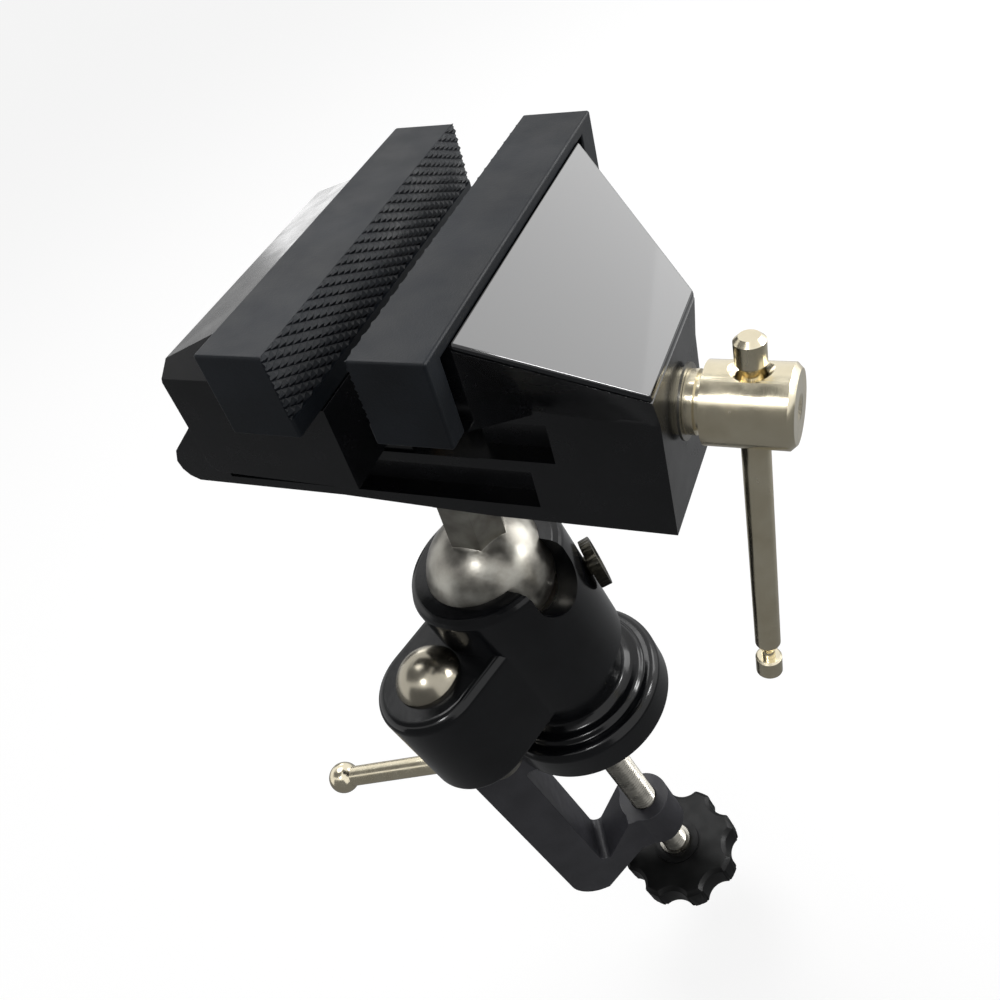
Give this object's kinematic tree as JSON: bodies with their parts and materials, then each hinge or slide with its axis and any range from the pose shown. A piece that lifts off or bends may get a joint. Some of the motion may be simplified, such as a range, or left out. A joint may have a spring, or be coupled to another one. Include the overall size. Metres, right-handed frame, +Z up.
{
  "type": "table clamp vise",
  "caption": "Bench vise head with padded jaws, lead screw and cross bar, on a lever-locked ball joint and a screw clamp for a table edge.",
  "frame": {"origin": "on the swivel axis, in the plane of the clamp's upper jaw face that rests on the table top", "axes": "+Z up the swivel axis, +X level, in the plan direction of the lead screw towards its handle, +Y completes the right-handed set"},
  "size_m": [0.1408, 0.0873, 0.2482],
  "materials": {
    "gloss_black": "gloss black enamel on cast metal",
    "plate_black": "mirror-gloss black enamel",
    "satin_black": "satin black enamel on cast metal",
    "jaw_rubber": "matt dark grey moulded rubber",
    "plated_steel": "bright nickel plate",
    "bar_nickel": "satin nickel plate",
    "ball_steel": "ground steel",
    "cap_chrome": "polished",
    "zinc_steel": "bright zinc plate",
    "brass": "turned",
    "knob_black": "moulded black plastic",
    "seat_nylon": "nylon",
    "drag_oxide": "dark plated knurled steel"
  },
  "bodies": {
    "clamp": {"clamp_frame": "gloss_black", "base_flange": "gloss_black", "pivot_bolt": "zinc_steel", "pivot_washer": "zinc_steel", "pivot_nut": "zinc_steel"},
    "pad": {"clamp_pad": "zinc_steel"},
    "clamp_screw": {"clamp_screw": "zinc_steel", "star_knob": "knob_black", "knob_insert": "zinc_steel"},
    "housing": {"socket_housing": "gloss_black", "lug_cap": "cap_chrome", "lock_plug": "brass"},
    "lock": {"lock_bolt": "zinc_steel", "lock_bar": "bar_nickel", "lock_ball": "bar_nickel"},
    "drag": {"drag_screw": "drag_oxide"},
    "seat": {"seat_cup": "seat_nylon"},
    "ball": {"ball_stud": "ball_steel", "stud_flange": "ball_steel"},
    "vise": {"vise_body": "gloss_black", "top_plate": "plate_black", "jaw_cap": "jaw_rubber", "screw_bush": "plated_steel", "thrust_washer": "plated_steel"},
    "jaw": {"moving_jaw": "satin_black", "moving_cap": "jaw_rubber", "lead_nut": "brass"},
    "screw": {"lead_screw": "plated_steel", "handle_head": "plated_steel", "head_pin": "plated_steel", "retaining_ring": "plated_steel"},
    "bar": {"tommy_bar": "bar_nickel", "bar_cap_top": "bar_nickel", "bar_cap_bottom": "bar_nickel"}
  },
  "joints": [
    {"name": "housing_swivel", "type": "hinge", "parent": "clamp", "child": "housing", "pos_m": [0, 0, 0.0693], "axis": [0, 0, 1], "continuous": true},
    {"name": "ball_swivel", "type": "hinge", "parent": "housing", "child": "seat", "pos_m": [0, 0, 0.0693], "axis": [0, 0, 1], "continuous": true},
    {"name": "ball_tilt", "type": "hinge", "parent": "seat", "child": "ball", "pos_m": [0, 0, 0.0693], "axis": [-0.4426, 0.8967, 0], "range_deg": [-50, 15]},
    {"name": "head_spin", "type": "hinge", "parent": "ball", "child": "vise", "pos_m": [0, 0, 0.0693], "axis": [0.1939, 0.0957, 0.9763], "continuous": true},
    {"name": "jaw_slide", "type": "slide", "parent": "vise", "child": "jaw", "axis": [-0.9809, 0.0007, 0.1948], "range_m": [-0.0135, 0.029]},
    {"name": "screw_turn", "type": "hinge", "parent": "vise", "child": "screw", "pos_m": [0.06387, 0.00505, 0.11061], "axis": [0.9809, -0.0007, -0.1948], "range_deg": [-2431, 5221]},
    {"name": "bar_slide", "type": "slide", "parent": "screw", "child": "bar", "axis": [0.1928, 0.146, 0.9703], "range_m": [-0.0019, 0.056]},
    {"name": "lock_turn", "type": "hinge", "parent": "housing", "child": "lock", "pos_m": [-0.01101, -0.02534, 0.0252], "axis": [0, 0, 1], "range_deg": [-60, 90]},
    {"name": "drag_turn", "type": "hinge", "parent": "housing", "child": "drag", "pos_m": [0.0165, 0.01199, 0.055], "axis": [0.809, 0.5878, 0], "range_deg": [-90, 90]},
    {"name": "pad_lift", "type": "slide", "parent": "clamp", "child": "pad", "axis": [0, 0, 1], "range_m": [-0.03, 0.007]},
    {"name": "clamp_screw_turn", "type": "hinge", "parent": "pad", "child": "clamp_screw", "pos_m": [-0.00343, -0.00206, -0.04], "axis": [0, 0, 1], "range_deg": [-8641, 2017]}
  ],
  "couplings": [
    {"joint": "screw_turn", "follows": "jaw_slide", "rad_per_m": 3141.6},
    {"joint": "clamp_screw_turn", "follows": "pad_lift", "rad_per_m": 5026.5}
  ]
}
